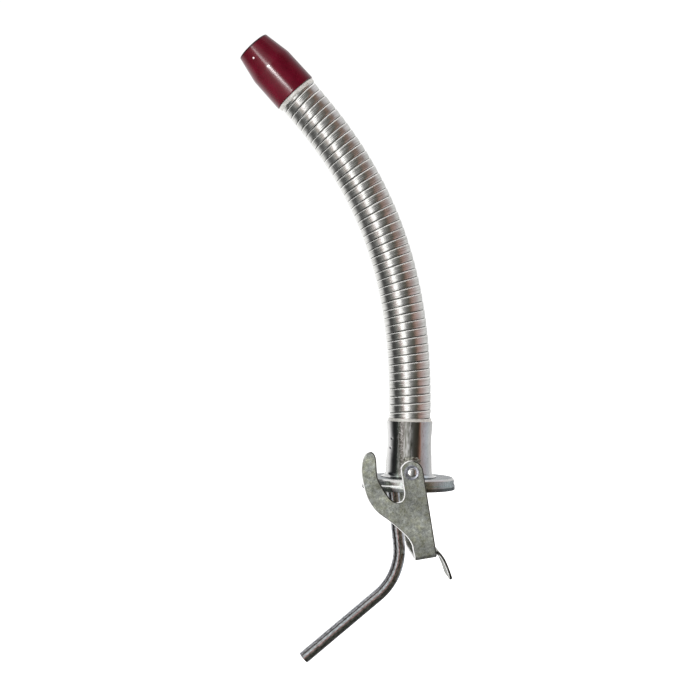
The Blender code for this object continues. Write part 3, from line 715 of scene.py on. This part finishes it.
def make_tip():
    place = tip_place()
    points = [(9.2, 39.9), (9.5, 40.7), (11.0, 40.6), (11.4, 40.25), (11.62, 39.2), (14.4, 24.6),
              (14.7, 22.6), (14.93, 1.0), (14.93, 0.25), (14.6, 0.0), (13.7, 0.0), (13.7, 11.8),
              (11.4, 11.8), (10.4, 24.0)]
    radii = [0.5, 0.4, 0.5, 0.5, 0.7, 2.6, 2.6, 0.3, 0.3, 0.2, 0.0, 0.0, 0.0, 4.0]
    profile = rounded(points, radii, 5)
    tip = turn_profile("outlet_tip_shell", profile, 96, [MAROON, MAROON_END], place)
    back = place.inverted()
    for face in tip.data.polygons:
        spot = back @ face.center
        if spot.z > 39.5 * MM or spot.xy.length < 11.3 * MM:
            face.material_index = 1
    place_on(tip, "outlet", "red_tip", "outlet_tip")
    points = [(13.45, -0.2), (14.2, -0.2), (14.3, -0.9), (14.25, -2.1), (13.8, -2.75), (13.45, -2.8)]
    radii = [0.0, 0.2, 0.5, 0.7, 0.3, 0.0]
    profile = rounded(points, radii, 4)
    ring = turn_profile("tip_end_ring", profile, 96, [PALE_RING], place)
    place_on(ring, "outlet", "plated_steel", "tip_ring")


# ---------------------------------------------------------------- cap, gasket, inlet, collar

def make_cap():
    points = [(14.3, 6.0), (28.25, 6.05), (29.5, 4.75), (29.5, 3.2), (29.4, 2.2), (30.02, 1.3), (30.1, -0.5),
              (30.1, -1.8), (28.95, -1.8), (28.75, 0.0), (28.1, 4.7), (14.3, 4.8)]
    radii = [0.2, 0.5, 0.5, 0.8, 0.3, 0.3, 0.7, 0.5, 0.4, 1.0, 1.6, 0.2]
    profile = rounded(points, radii, 5)

    def dress(point, angle):
        ripple = 0.05 * MM * noise.noise(Vector((2.2 * math.cos(angle), 2.2 * math.sin(angle), 0.3)))
        return point + Vector((0, 0, ripple)) if point.z > 0 else point

    cap = turn_profile("cap_shell", profile, 128, [CAP_PLATING, PLATED], None, dress)
    for face in cap.data.polygons:
        spot = face.center
        if spot.xy.length > 28.2 * MM and 4.6 * MM < spot.z < 5.9 * MM:
            face.material_index = 1
    place_on(cap, "base", "plated_steel", "cap")


def make_gasket():
    points = [(14.45, 4.5), (26.3, 4.5), (27.4, 3.4), (27.4, 0.0), (20.1, 0.0), (20.0, 0.3), (14.45, 0.3)]
    radii = [0.2, 0.6, 0.6, 0.6, 0.1, 0.1, 0.2]
    profile = rounded(points, radii, 4)
    gasket = turn_profile("gasket_ring", profile, 96, [RUBBER])
    place_on(gasket, "base", "black_rubber", "gasket")


def collar_shift(point, angle):
    """Two small punch marks on the left, and the slightly uneven skin of a hand-finished part."""
    radius = math.hypot(point.x, point.y)
    if radius < 13.9 * MM or point.z < 10 * MM or point.z > 40 * MM:
        return point
    inward = 0.0
    for mark_z, degrees in ((31.0, 212.0), (25.2, 207.0)):
        along = (math.degrees(angle) - degrees) * math.radians(1) * radius / (0.95 * MM)
        up = (point.z - mark_z * MM) / (0.42 * MM)
        inward += 0.45 * MM * math.exp(-along * along - up * up)
    wave = noise.noise(Vector((1.6 * math.cos(angle), 1.6 * math.sin(angle), point.z / (11 * MM))))
    scale = 1 + (0.06 * MM * wave - inward) / radius
    return Vector((point.x * scale, point.y * scale, point.z))


def make_collar():
    side = [(14.92, 41.7), (14.86, 39.6), (14.66, 36.0), (14.35, 31.8), (14.25, 28.3), (14.38, 24.0),
            (14.65, 20.0), (14.8, 17.0), (14.92, 13.0), (15.02, 10.2)]
    side = smooth_line(side, 10)
    foot = [(15.1 + 3.0 - 3.0 * math.cos(a), 9.3 - 3.0 * math.sin(a))
            for a in (math.radians(9 * step) for step in range(1, 11))]
    inner = [(14.0, 6.35), (14.0, 0.2), (13.7, 0.0), (12.8, 0.0), (12.6, 0.3), (12.6, 23.4), (13.5, 23.4),
             (13.6, 43.2), (13.66, 43.85), (13.86, 43.88), (14.0, 43.6), (14.04, 42.4), (14.2, 42.15),
             (14.7, 42.1), (14.88, 41.98)]
    profile = [(r * MM, h * MM) for r, h in [*side, *foot, *inner]]
    collar = turn_profile("collar_sleeve", profile, 192, [COLLAR_PLATING, PALE_RING], None, collar_shift, 30)
    for face in collar.data.polygons:
        if face.center.z > 42.12 * MM and face.center.xy.length > 13.6 * MM:
            face.material_index = 1
    place_on(collar, "base", "plated_steel", "collar")


def make_inlet_plate():
    plate = frame["nodes"]["inlet_plate"]
    plate.data.materials.clear()
    plate.data.materials.append(DULL)


# ---------------------------------------------------------------- breather tube

def tube_route():
    """Centre points: straight down from the plate, one bend towards -X, and a straight tail."""
    top = Vector((-10.4, 0.0, -0.6)) * MM
    turn = math.radians(56.5)
    radius = 38 * MM
    heading = Vector((math.sin(BREATHER_LEAN), 0, -math.cos(BREATHER_LEAN)))
    inward = Vector((heading.z, 0, -heading.x))
    start = top + heading * 37.5 * MM
    centre = start + inward * radius
    points = [(top + (start - top) * i / 12, heading) for i in range(12)]
    steps = 36
    for step in range(steps + 1):
        angle = turn * step / steps
        spoke = heading * math.sin(angle) - inward * math.cos(angle)
        points.append((centre + spoke * radius, heading * math.cos(angle) + inward * math.sin(angle)))
    tail_start, end_heading = points[-1]
    points += [(tail_start + end_heading * 63 * MM * i / 20, end_heading) for i in range(1, 21)]
    return points


def make_breather():
    outer, inner = BREATHER_OUTER, BREATHER_INNER
    route = tube_route()
    work = bmesh.new()
    uv_layer = work.loops.layers.uv.new("along")
    sides = 48
    sections = []
    travelled = 0.0
    rim = 0.25 * MM
    first, last = route[0], route[-1]
    stations = [(first[0], first[1], outer - rim)]
    stations += [(first[0] + first[1] * rim, first[1], outer)]
    stations += [(point, heading, outer) for point, heading in route[1:-1]]
    stations += [(last[0] - last[1] * rim, last[1], outer), (last[0], last[1], outer - rim)]
    stations += [(last[0], last[1], inner + rim / 2), (last[0] - last[1] * rim, last[1], inner)]
    stations += [(point, heading, inner) for point, heading in route[-2:0:-1]]
    stations += [(first[0], first[1], inner)]
    previous = stations[0][0]
    for point, heading, radius in stations:
        travelled += (point - previous).length
        previous = point
        side = Vector((heading.z, 0, -heading.x))
        ring = [work.verts.new(point + radius * (side * math.cos(2 * math.pi * s / sides)
                                                 + Vector((0, 1, 0)) * math.sin(2 * math.pi * s / sides)))
                for s in range(sides)]
        sections.append((ring, travelled))
    for (ring, at), (following, next_at) in zip(sections, sections[1:] + sections[:1]):
        for s in range(sides):
            after = (s + 1) % sides
            face = work.faces.new((ring[s], ring[after], following[after], following[s]))
            corners = ((s, at), (s + 1, at), (s + 1, next_at), (s, next_at))
            for loop, (step, distance) in zip(face.loops, corners):
                loop[uv_layer].uv = (distance * 10, step / sides)
    tube = finish_mesh("breather_pipe", work, [TARNISHED], 34)
    place_on(tube, "base", "tarnished_tube", "breather_tube")


def lumpy(name, centre, size, seed, strength):
    """A brazed lump: a ball stretched to size and roughened."""
    work = bmesh.new()
    bmesh.ops.create_icosphere(work, subdivisions=5, radius=1.0)
    for vert in work.verts:
        direction = vert.co.copy()
        swell = 1 + strength * noise.fractal(direction * 1.7 + Vector((seed, 0, 0)), 0.9, 2.1, 4)
        vert.co = Vector((direction.x * size[0], direction.y * size[1], direction.z * size[2])) * swell
        vert.co += Vector(centre)
    return finish_mesh(name, work, [BRAZE], 60)


def make_braze():
    low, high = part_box("breather_bead")
    middle = [(a + b) / 2 for a, b in zip(low, high)]
    profile = [(4.02, 0.4), (5.5, 0.35), (5.3, -0.5), (4.7, -1.3), (4.15, -1.9), (4.02, -1.9)]
    profile = rounded(profile, [0, 0.3, 0.5, 0.5, 0.2, 0], 3)
    place = Matrix.Translation((middle[0], 0.0, middle[2] + 0.75 * MM)) @ Matrix.Rotation(-BREATHER_LEAN, 4, "Y")

    def rough(point, angle):
        swell = 1 + 0.05 * noise.noise(Vector((3 * math.cos(angle), 3 * math.sin(angle), point.z * 900)))
        return Vector((point.x * swell, point.y * swell, point.z)) if point.xy.length > 4.1 * MM else point

    bead = turn_profile("breather_braze", profile, 64, [BRAZE], place, rough, 50)
    place_on(bead, "base", "braze", "breather_bead")
    for side_name, sign in (("front", -1), ("rear", 1)):
        lump = lumpy(f"pivot_braze_{side_name}", (PIVOT.x + 1.2 * MM, sign * 14.6 * MM, 17.0 * MM),
                     (5.4 * MM, 1.5 * MM, 3.0 * MM), 3.0 * sign, 0.28)
        place_on(lump, "base", "braze")


# ---------------------------------------------------------------- lever and pivots

def plate_points(rear):
    """A side plate's left side about the pivot, in millimetres; the rear hook is the slimmer one."""
    belly = [(0.9, -45.2), (-1.8, -40.9), (-6.4, -36.4), (-13.8, -30.5), (-22.2, -24.3)]
    front_hook = [(-27.7, -16.4), (-30.8, -6.0), (-31.8, 1.5), (-30.9, 8.4), (-28.9, 11.7), (-26.6, 12.7),
                  (-24.1, 11.7), (-22.5, 8.2), (-21.9, 2.0)]
    rear_hook = [(-25.2, -16.4), (-26.5, -8.0), (-26.9, -1.0), (-26.7, 4.2), (-25.7, 6.6), (-24.4, 7.3),
                 (-23.1, 6.6), (-22.3, 4.4), (-21.9, 1.0)]
    slot = [(-21.2, -3.7), (-18.9, -8.3), (-15.7, -13.3), (-12.8, -16.9), (-9.0, -18.7), (-5.7, -17.6),
            (-4.4, -13.8), (-5.4, -7.0), (-6.6, 0.0)]
    return belly, rear_hook if rear else front_hook, slot


def to_tilted(x, z):
    """Plate coordinates in the frame whose -Z is square to the bridge."""
    return (x * math.cos(BRIDGE_TILT) + z * math.sin(BRIDGE_TILT),
            -x * math.sin(BRIDGE_TILT) + z * math.cos(BRIDGE_TILT))


def from_tilted(x, z):
    return (x * math.cos(BRIDGE_TILT) - z * math.sin(BRIDGE_TILT),
            x * math.sin(BRIDGE_TILT) + z * math.cos(BRIDGE_TILT))


def make_lever():
    """One sheet: two plates, two round bends, the bridge and the curled tab, then given its thickness."""
    bend_z = -(BRIDGE_DROP - BEND_RADIUS)
    left_x = to_tilted(3.0 * MM, -54.0 * MM)[0]
    right_x = to_tilted(17.1 * MM, -52.4 * MM)[0]
    work = bmesh.new()

    def vertex(x, y, z):
        px, pz = from_tilted(x, z)
        return work.verts.new((PIVOT.x + px, y, PIVOT.z + pz))

    def plate(sign):
        belly, hook, slot = plate_points(sign > 0)
        bottom_left = from_tilted(left_x, bend_z)
        above_left = from_tilted(left_x - 0.25 * MM, bend_z + 3.2 * MM)
        curve = smooth_line([bottom_left, above_left, *[(x * MM, z * MM) for x, z in [*belly, *hook, *slot]]], 6)
        eye = arc((0, 0), EYE_RADIUS, math.radians(158), math.radians(8), 40)
        bottom_right = from_tilted(right_x, bend_z)
        outline = [*curve, *eye, bottom_right]
        hole = arc((0, 0), EYE_HOLE_RADIUS, 0.0, 2 * math.pi * 47 / 48, 48)
        loops = []
        for points in (outline, hole):
            verts = [work.verts.new((PIVOT.x + x, sign * PLATE_Y, PIVOT.z + z)) for x, z in points]
            edges = [work.edges.new((a, b)) for a, b in zip(verts, verts[1:] + verts[:1])]
            loops.append((verts, edges))
        bmesh.ops.triangle_fill(work, edges=loops[0][1] + loops[1][1], use_beauty=True)
        return loops[0][0][0], loops[0][0][-1]

    def section(y, z):
        return [vertex(left_x, y, z), vertex(right_x, y, z)]

    rows = []
    front_left, front_right = plate(-1)
    rear_left, rear_right = plate(1)
    rows.append([front_left, front_right])
    bend_steps = 8
    for step in range(1, bend_steps + 1):
        angle = math.pi / 2 * step / bend_steps
        y = -(PLATE_Y - BEND_RADIUS + BEND_RADIUS * math.cos(angle))
        rows.append(section(y, bend_z - BEND_RADIUS * math.sin(angle)))
    fillet = 2.0 * MM
    bridge_ys = [-TAB_HALF_WIDTH - fillet, -TAB_HALF_WIDTH, -0.5 * TAB_HALF_WIDTH, 0.0,
                 0.5 * TAB_HALF_WIDTH, TAB_HALF_WIDTH, TAB_HALF_WIDTH + fillet]
    tab_rows = []
    for y in bridge_ys:
        rows.append(section(y, -BRIDGE_DROP))
        tab_rows.append(rows[-1][1])
    for step in range(bend_steps, 0, -1):
        angle = math.pi / 2 * step / bend_steps
        y = PLATE_Y - BEND_RADIUS + BEND_RADIUS * math.cos(angle)
        rows.append(section(y, bend_z - BEND_RADIUS * math.sin(angle)))
    rows.append([rear_left, rear_right])
    for row, following in zip(rows, rows[1:]):
        work.faces.new((row[0], row[1], following[1], following[0]))

    start = from_tilted(right_x, -BRIDGE_DROP)
    middle = smooth_line([start, (18.4 * MM, -52.6 * MM), (21.0 * MM, -54.0 * MM), (23.6 * MM, -57.6 * MM),
                          (26.2 * MM, -63.2 * MM), (28.75 * MM, -70.0 * MM)], 6)
    length = len(middle) - 1
    shares = [-1.0, -1.0, -0.5, 0.0, 0.5, 1.0, 1.0]
    previous = tab_rows
    for step in range(1, length + 1):
        x, z = middle[step]
        to_end = length - step
        corner = max(0.0, 1.0 - to_end / 5.0)
        half = TAB_HALF_WIDTH - 2.2 * MM * (1 - math.sqrt(max(0.0, 1 - corner * corner)))
        flare = fillet * max(0.0, 1 - step / 3.0) ** 2
        row = []
        for index, share in enumerate(shares):
            y = share * half
            if index in (0, 6):
                y += math.copysign(flare + 0.35 * MM, share)
            row.append(work.verts.new((PIVOT.x + x, y, PIVOT.z + z)))
        for i in range(6):
            work.faces.new((previous[i], row[i], row[i + 1], previous[i + 1]))
        previous = row
    bmesh.ops.recalc_face_normals(work, faces=work.faces)
    lever = finish_mesh("lever_sheet", work, [ZINC, EDGE], 30)
    thick = lever.modifiers.new("Thickness", "SOLIDIFY")
    thick.thickness = SHEET
    thick.offset = 0.0
    thick.use_even_offset = True
    thick.material_offset_rim = 1
    soften = lever.modifiers.new("Edges", "BEVEL")
    soften.width = 0.78 * MM
    soften.segments = 4
    soften.limit_method = "ANGLE"
    soften.angle_limit = math.radians(50)
    soften.harden_normals = True
    soften.use_clamp_overlap = False
    soften.loop_slide = False
    soften.material = 1
    place_on(lever, "lever", "zinc_lever", "lever")


def make_pivot(side_name, turn):
    place = Matrix.Translation(PIVOT) @ Matrix.Rotation(turn, 4, "X")
    dome = [(2.95 * math.sin(a), 34.95 + 1.22 * math.cos(a))
            for a in (math.radians(9 * step) for step in range(1, 11))]
    stud = [(0.0, 36.17), *dome, (2.6, 34.85), (2.2, 34.75), (2.2, 33.5), (3.4, 33.4), (3.4, 30.9), (4.4, 30.8),
            (4.6, 30.6), (4.6, 13.2), (0.0, 13.2)]
    stud = solid_of_turn(f"stud_{side_name}", [(r * MM, h * MM) for r, h in stud], 56, [PLATED], place)
    place_on(stud, "base", "plated_steel", f"pivot_stud_{side_name}")
    washer = [(2.5, 34.2), (3.5, 34.22), (4.1, 34.5), (4.5, 34.52), (4.7, 34.3), (4.7, 33.7), (2.5, 33.7)]
    radii = [0.1, 0.4, 0.3, 0.25, 0.2, 0.1, 0.0]
    profile = rounded(washer, radii, 4)
    ring = turn_profile(f"washer_{side_name}", profile, 64, [WASHER_PLATING], place)
    place_on(ring, "base", "plated_steel", f"pivot_washer_{side_name}")


# ---------------------------------------------------------------- studio

def make_floor():
    size = 8.0
    floor_z = CAD_BOUNDS[0][2] - 3 * MM
    work = bmesh.new()
    bmesh.ops.create_grid(work, x_segments=8, y_segments=8, size=size / 2)
    mesh = bpy.data.meshes.new("floor")
    work.to_mesh(mesh)
    work.free()
    floor = bpy.data.objects.new("floor", mesh)
    bpy.context.scene.collection.objects.link(floor)
    floor.location.z = floor_z
    floor.visible_glossy = False
    material = bpy.data.materials.new("floor_white")
    material.use_nodes = True
    shader = material.node_tree.nodes["Principled BSDF"]
    shader.inputs["Base Color"].default_value = (0.8, 0.8, 0.8, 1)
    shader.inputs["Emission Color"].default_value = (1, 1, 1, 1)
    shader.inputs["Emission Strength"].default_value = 0.8
    mesh.materials.append(material)


def make_world():
    """A white studio: pale walls at the sides and behind, a darker room behind the camera."""
    world = bpy.data.worlds.new("studio")
    bpy.context.scene.world = world
    world.use_nodes = True
    world.node_tree.nodes.clear()
    graph = Nodes(world.node_tree)
    maths, soft_step, mixed = graph.maths, graph.soft_step, graph.mix
    turn = graph.make("Mapping", Vector=graph.make("TexCoord").outputs["Generated"])
    turn.inputs["Rotation"].default_value = (0, 0, -CAMERA_YAW)
    heading = graph.axes(turn.outputs["Vector"])

    # azimuth: 0 towards the camera, positive to the camera's right; elevation: 90 straight up
    forwards = maths("MULTIPLY", heading["Y"], -1.0)
    azimuth = maths("MULTIPLY", maths("ARCTAN2", heading["X"], forwards), 180 / math.pi)
    elevation = maths("MULTIPLY", maths("ARCSINE", heading["Z"]), 180 / math.pi)
    share = maths("MULTIPLY_ADD", azimuth, 1 / 360, 0.5)

    def panel(under, colour, along, left, right, soft, low, high, soft_z):
        """A soft-edged panel between two azimuths and two elevations."""
        side = maths("MULTIPLY", soft_step(along, left - soft, left + soft),
                     soft_step(along, right + soft, right - soft))
        tall = maths("MULTIPLY", soft_step(elevation, low - soft_z, low + soft_z),
                     soft_step(elevation, high + soft_z, high - soft_z))
        return mixed(maths("MULTIPLY", side, tall), under, colour)

    def walls(stops):
        """The room's walls at one height, as (azimuth, grey or colour) stops."""
        return graph.ramp(share, [(0.5 + degrees / 360, tone) for degrees, tone in stops])

    level = walls([
        (-180, 1.1), (-150, 1.15), (-129, 0.93), (-114, 0.58), (-101, 0.15), (-94, 0.07), (-76, 0.09),
        (-57, (0.24, 0.245, 0.23)), (-48, (0.42, 0.4, 0.37)), (-37, (0.74, 0.69, 0.66)), (-30, 1.9), (-19, 2.0),
        (-12, 0.66), (0, 0.34), (9, 0.21), (20, (0.14, 0.14, 0.12)), (37, (0.09, 0.085, 0.07)),
        (41, (0.24, 0.155, 0.12)), (54, (0.44, 0.3, 0.26)), (64, (0.49, 0.365, 0.35)), (80, (0.56, 0.48, 0.48)),
        (98, (0.66, 0.63, 0.63)), (114, 0.76), (144, 0.66), (166, 0.86), (180, 1.0),
    ])
    lower = walls([
        (-180, 0.9), (-134, 0.76), (-115, 0.32), (-97, 0.13), (-82, 0.13), (-62, 0.27), (-48, 0.52),
        (-40, (0.66, 0.61, 0.56)), (-33, (0.56, 0.5, 0.48)), (-20, 0.9), (-9, 0.48), (2, 0.28), (20, 0.12),
        (60, 0.07), (120, 0.08), (150, 0.3), (180, 0.6),
    ])
    upper = walls([
        (-180, 0.9), (-140, 0.7), (-100, 0.45), (-60, 0.45), (-30, 0.5), (-8, 0.85), (-1, 0.74), (7, 0.42),
        (18, 0.22), (38, (0.15, 0.14, 0.12)), (50, (0.2, 0.155, 0.13)), (66, (0.27, 0.2, 0.17)),
        (80, (0.31, 0.245, 0.235)), (97, (0.48, 0.44, 0.44)), (114, 0.65), (134, 0.72), (165, 0.76), (180, 0.9),
    ])
    high = walls([
        (-180, 1.3), (-130, 0.5), (-60, 0.25), (-5, 0.35), (4, 0.33), (16, 0.16), (31, (0.12, 0.1, 0.09)),
        (40, (0.25, 0.165, 0.125)), (57, (0.24, 0.17, 0.14)), (67, (0.29, 0.24, 0.24)), (85, 0.52),
        (104, (0.66, 0.63, 0.66)), (130, (0.76, 0.74, 0.79)), (149, 1.15), (180, 1.3),
    ])
    room = mixed(soft_step(elevation, -23, -31), level, lower)
    room = mixed(soft_step(elevation, 11, 24), room, upper)
    room = mixed(soft_step(elevation, 33, 42), room, high)
    room = panel(room, (0.05, 0.055, 0.06), azimuth, -133, -98, 2, 4, 60, 3)
    room = panel(room, (1.9, 1.9, 1.85), azimuth, -60, -29, 4, 13, 42, 4)
    room = panel(room, (0.62, 0.33, 0.36), azimuth, -46, -40, 2, -14, 7, 3)
    ceiling = maths("ADD", elevation, maths("MULTIPLY", soft_step(azimuth, 0, -30), 13.0))
    room = mixed(soft_step(ceiling, 62, 71), room, (1.1, 1.1, 1.1))
    room = mixed(soft_step(elevation, -38, -52), room, (0.12, 0.12, 0.115))
    room = mixed(soft_step(elevation, -69, -80), room, (0.9, 0.9, 0.9))
    lit = graph.make("Background", Color=room)
    seen = graph.make("Background", Color=(1, 1, 1), Strength=1.05)
    choose = graph.make("MixShader", Fac=graph.make("LightPath").outputs["Is Camera Ray"])
    graph.feed(lit.outputs[0], choose.inputs[1])
    graph.feed(seen.outputs[0], choose.inputs[2])
    graph.make("OutputWorld", Surface=choose.outputs[0])


def area_light(name, azimuth, elevation, distance, size, energy, target):
    """A soft box; azimuth 0 is on the camera's side, positive to the camera's right."""
    around = math.radians(azimuth)
    up = math.radians(elevation)
    direction = Vector((math.sin(around) * math.cos(up), -math.cos(around) * math.cos(up), math.sin(up)))
    light = bpy.data.lights.new(name, "AREA")
    light.shape = "RECTANGLE"
    light.size, light.size_y = size
    light.energy = energy
    lamp = bpy.data.objects.new(name, light)
    bpy.context.scene.collection.objects.link(lamp)
    lamp.location = Vector(target) + direction * distance
    lamp.visible_camera = False
    lamp.rotation_euler = (-direction).to_track_quat("-Z", "Y").to_euler()
    return lamp


def make_lights():
    middle = (-40 * MM, 0, 90 * MM)
    overhead = area_light("overhead", 20, 78, 1.8, (1.4, 1.4), 18, middle)
    overhead.visible_glossy = False
    # small lamps for the highlights of the glossy tip and of the domed heads; the rest ignores them
    low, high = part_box("outlet_tip")
    tip_middle = tuple((a + b) / 2 for a, b in zip(low, high))
    for name, azimuth, elevation, distance, size, energy, target, answering in (
            ("tip_barrel", -17.6, -3.4, 0.3, (0.09, 0.035), 0.13, tip_middle, ("outlet_tip_shell",)),
            ("tip_shoulder", -22.5, 1.5, 0.3, (0.05, 0.035), 0.5, tip_middle, ("outlet_tip_shell",)),
            ("tip_cone", -30.5, 10.4, 0.3, (0.07, 0.04), 0.06, tip_middle, ("outlet_tip_shell",)),
            ("heads", -38, 6, 1.0, (0.5, 0.7), 4.0, tuple(PIVOT), ("stud_front", "stud_rear"))):
        lamp = area_light(name, azimuth, elevation, distance, size, energy, target)
        answers = bpy.data.collections.new(name)
        for piece in answering:
            answers.objects.link(PIECES[piece])
        lamp.light_linking.receiver_collection = answers


CAMERA_YAW = math.radians(2.88)
CAMERA_ROLL = math.radians(1.1)
CAMERA_PLACE = Vector((-87.7, -953.6, 87.4)) * MM
CAMERA_LENS = 75.7


def make_camera():
    data = bpy.data.cameras.new("camera")
    data.lens = CAMERA_LENS
    data.sensor_width = 36.0
    data.clip_start = 0.02
    camera = bpy.data.objects.new("camera", data)
    bpy.context.scene.collection.objects.link(camera)
    level = Matrix.Rotation(-CAMERA_YAW, 4, "Z") @ Matrix.Rotation(math.pi / 2, 4, "X")
    camera.matrix_world = Matrix.Translation(CAMERA_PLACE) @ level @ Matrix.Rotation(CAMERA_ROLL, 4, "Z")
    bpy.context.scene.camera = camera


# ---------------------------------------------------------------- the whole scene

def main():
    make_camera()
    make_hose()
    make_tip()
    make_cap()
    make_gasket()
    make_collar()
    make_inlet_plate()
    make_breather()
    make_braze()
    make_lever()
    make_pivot("front", FRONT_TURN)
    make_pivot("rear", REAR_TURN)
    make_floor()
    make_world()
    make_lights()
    bpy.context.scene.view_settings.view_transform = "Standard"


main()
